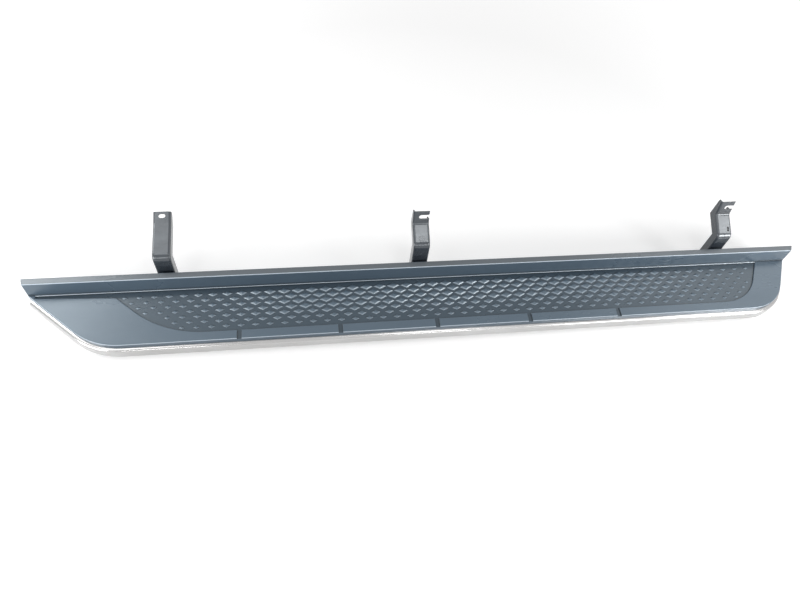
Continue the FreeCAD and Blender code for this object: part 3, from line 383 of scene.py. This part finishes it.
MATERIALS = {
    "moulding": deck_plastic(
        "moulded deck plastic", dark=(0.062, 0.091, 0.122), light=(0.085, 0.120, 0.157),
        rough=(0.25, 0.33), cells=1100.0, depth=0.00003,
        Specular_IOR_Level=0.75, Specular_Tint=(0.86, 0.95, 1.0, 1.0)),
    "tray": grained_plastic(
        "tray plastic", dark=(0.020, 0.021, 0.023), light=(0.032, 0.033, 0.035),
        rough=(0.50, 0.62), cells=700.0, depth=0.00006),
    "plug": grained_plastic(
        "plug plastic", dark=(0.018, 0.018, 0.019), light=(0.028, 0.028, 0.029),
        rough=(0.50, 0.60), cells=900.0, depth=0.00004),
    "trim": drawn_metal(
        "bright trim metal", dark=(0.36, 0.355, 0.35), light=(0.64, 0.64, 0.64),
        rough=(0.14, 0.26), lines=1800.0, depth=0.000004),
    "clip_steel": drawn_metal(
        "spring steel", dark=(0.34, 0.34, 0.35), light=(0.46, 0.46, 0.47),
        rough=(0.28, 0.42), lines=900.0, depth=0.00001),
    "zinc": drawn_metal(
        "zinc plate", dark=(0.52, 0.52, 0.50), light=(0.66, 0.66, 0.63),
        rough=(0.30, 0.44), lines=1500.0, depth=0.00001),
    "rail_paint": coated_steel(
        "rail coat", dark=(0.016, 0.016, 0.017), light=(0.026, 0.026, 0.028),
        rough=(0.42, 0.55), orange_peel=500.0, depth=0.00005),
    "bracket_paint": coated_steel(
        "bracket coat", dark=(0.019, 0.023, 0.029), light=(0.044, 0.052, 0.063),
        rough=(0.20, 0.28), orange_peel=420.0, depth=0.00004,
        Specular_IOR_Level=0.7, Specular_Tint=(0.88, 0.95, 1.0, 1.0),
        Coat_Weight=0.5, Coat_Roughness=0.14),
    "pad_rubber": grained_plastic(
        "pad rubber", dark=(0.014, 0.014, 0.014), light=(0.024, 0.024, 0.024),
        rough=(0.70, 0.82), cells=500.0, depth=0.0001),
}

for part in frame["record"]["subparts"]:
    mesh = NODES[part["node"]].data
    mesh.materials.clear()
    mesh.materials.append(MATERIALS[part["material_slot"]])


# Floor, light and camera

FLOOR_HALF = 14.0           # half of the floor's side
FLOOR_GREY = 0.80           # its colour
FLOOR_WHITE = (0.36, 0.66)  # white added to it near the step and far from it
NEAR_AND_FAR = (1.0, 2.0)   # distances from the middle at which these hold
SURROUND = 0.30             # strength of the world's own light


def seen_rays(tree):
    """1 for the rays that show a surface: from the camera, in a mirror or through glass."""
    path = tree.nodes.new("ShaderNodeLightPath")
    seen = add_node(
        tree, "ShaderNodeMath", {"operation": "MAXIMUM"}, {},
        {0: path.outputs["Is Camera Ray"], 1: path.outputs["Is Glossy Ray"]})
    seen = add_node(
        tree, "ShaderNodeMath", {"operation": "MAXIMUM"}, {},
        {0: seen.outputs[0], 1: path.outputs["Is Transmission Ray"]})
    return seen.outputs[0]


def white_when_seen(tree, lit_surface):
    """Adds white light to a surface, for camera, mirror and glass rays only, so that it is white.

    The light is weaker near the step, where the floor shows its shadow, and stronger far from it.
    """
    place = tree.nodes.new("ShaderNodeTexCoord")
    distance = add_node(
        tree, "ShaderNodeVectorMath", {"operation": "LENGTH"}, {}, {0: place.outputs["Object"]})
    level = add_node(
        tree, "ShaderNodeMapRange", {},
        {"From Min": NEAR_AND_FAR[0], "From Max": NEAR_AND_FAR[1],
         "To Min": FLOOR_WHITE[0], "To Max": FLOOR_WHITE[1]},
        {"Value": distance.outputs["Value"]})
    strength = add_node(
        tree, "ShaderNodeMath", {"operation": "MULTIPLY"}, {},
        {0: seen_rays(tree), 1: level.outputs["Result"]})
    glow = add_node(
        tree, "ShaderNodeEmission", {}, {"Color": (1, 1, 1, 1)}, {"Strength": strength.outputs[0]})
    both = tree.nodes.new("ShaderNodeAddShader")
    tree.links.new(lit_surface, both.inputs[0])
    tree.links.new(glow.outputs[0], both.inputs[1])
    return both.outputs[0]


def studio_floor():
    """A wide flat sheet on which the brackets stand."""
    corners = FLOOR_HALF * np.array([(-1, -1, 0), (1, -1, 0), (1, 1, 0), (-1, 1, 0)])
    mesh = bpy.data.meshes.new("studio_floor")
    mesh.from_pydata(corners.tolist(), [], [(0, 1, 2, 3)])
    floor = bpy.data.objects.new("studio_floor", mesh)
    bpy.context.scene.collection.objects.link(floor)
    material = bpy.data.materials.new("pale floor")
    material.use_nodes = True
    tree = material.node_tree
    tree.nodes.remove(tree.nodes["Principled BSDF"])
    lit = add_node(
        tree, "ShaderNodeBsdfDiffuse", {}, {"Color": (FLOOR_GREY, FLOOR_GREY, FLOOR_GREY, 1)})
    surface = white_when_seen(tree, lit.outputs[0])
    tree.links.new(surface, tree.nodes["Material Output"].inputs["Surface"])
    mesh.materials.append(material)


def studio_world(level):
    """An even grey surround for the light and white where it is seen or mirrored."""
    world = bpy.data.worlds.new("studio")
    bpy.context.scene.world = world
    world.use_nodes = True
    tree = world.node_tree
    background = tree.nodes["Background"]
    seen = seen_rays(tree)
    strength = add_node(
        tree, "ShaderNodeMapRange", {}, {"To Min": level, "To Max": 1.0}, {"Value": seen})
    tree.links.new(strength.outputs["Result"], background.inputs["Strength"])
    background.inputs["Color"].default_value = (1, 1, 1, 1)


def softbox(name, place, target, size, power):
    """A white rectangular area lamp that looks from one point at another."""
    lamp = bpy.data.lights.new(name, "AREA")
    lamp.shape = "RECTANGLE"
    lamp.size, lamp.size_y = size
    lamp.energy = power
    holder = bpy.data.objects.new(name, lamp)
    bpy.context.scene.collection.objects.link(holder)
    holder.location = place
    holder.rotation_euler = (Vector(target) - Vector(place)).to_track_quat("-Z", "Y").to_euler()
    holder.visible_camera = False


CAMERA_LENS = 27.0      # millimetres, with the sensor's width
CAMERA_SENSOR = 36.0
CAMERA_X = -0.289       # from the board's middle
CAMERA_OUT = 0.724      # out from the wall foot
CAMERA_HEIGHT = 1.119   # over the tread floor
CAMERA_AHEAD = Vector((0.143, 0.509, -0.849))
CAMERA_ACROSS = Vector((0.988, -0.118, 0.095))


def photo_camera():
    """The camera of the photograph, placed from the wall foot and tread floor of the board."""
    ahead = CAMERA_AHEAD.normalized()
    across = CAMERA_ACROSS.normalized()
    across = (across - ahead * across.dot(ahead)).normalized()
    up = across.cross(ahead)
    lens = bpy.data.cameras.new("photo_camera")
    lens.lens = CAMERA_LENS
    lens.sensor_width = CAMERA_SENSOR
    lens.clip_end = 50.0
    camera = bpy.data.objects.new("photo_camera", lens)
    bpy.context.scene.collection.objects.link(camera)
    spot = Vector((CAMERA_X, WALL_FOOT_Y - CAMERA_OUT, FLOOR_Z + CAMERA_HEIGHT))
    turn = Matrix((across, up, -ahead)).transposed().to_4x4()
    camera.matrix_world = Matrix.Translation(spot) @ turn
    bpy.context.scene.camera = camera


# Lamps: name, place, the point it looks at, width and height, and power in watts.
SOFTBOXES = [
    ("left_window", (-1.75, 0.85, 1.35), (-0.8, 0.0, 0.05), (0.9, 0.9), 15.8),
    ("right_window", (1.75, 0.75, 1.3), (0.75, 0.0, 0.05), (0.9, 0.9), 3.2),
    ("left_skylight", (-1.3, -0.1, 1.9), (-0.8, 0.0, 0.05), (0.7, 0.7), 4.2),
    ("ramp_skylight", (-1.01, 0.49, 1.84), (-0.6, 0.07, 0.13), (0.4, 0.4), 1.2),
    ("middle_skylight", (0.29, -0.48, 1.92), (-0.05, 0.05, 0.13), (0.4, 0.4), 2.9),
    ("right_skylight", (1.58, -0.30, 1.29), (0.68, 0.06, 0.13), (0.4, 0.4), 3.1),
    ("low_left", (-1.9, -1.15, 0.75), (-0.5, 0.0, 0.06), (0.6, 0.4), 3.0),
    ("near_left", (-1.45, -0.6, 0.45), (-0.8, 0.0, 0.06), (0.5, 0.4), 6.6),
    ("front_left", (-1.0, -1.6, 0.98), (-0.3, 0.0, 0.09), (0.35, 0.25), 2.0),
    ("front_middle", (0.34, -1.68, 0.98), (-0.3, 0.0, 0.09), (0.35, 0.25), 2.0),
    ("near_right", (0.95, -0.95, 0.7), (0.75, 0.0, 0.06), (0.5, 0.4), 3.6),
    ("low_right", (1.6, -1.05, 0.65), (0.1, 0.0, 0.06), (0.6, 0.4), 12.5),
]

studio_floor()
studio_world(SURROUND)
for lamp_row in SOFTBOXES:
    softbox(*lamp_row)
photo_camera()
bpy.context.scene.view_settings.view_transform = "Standard"
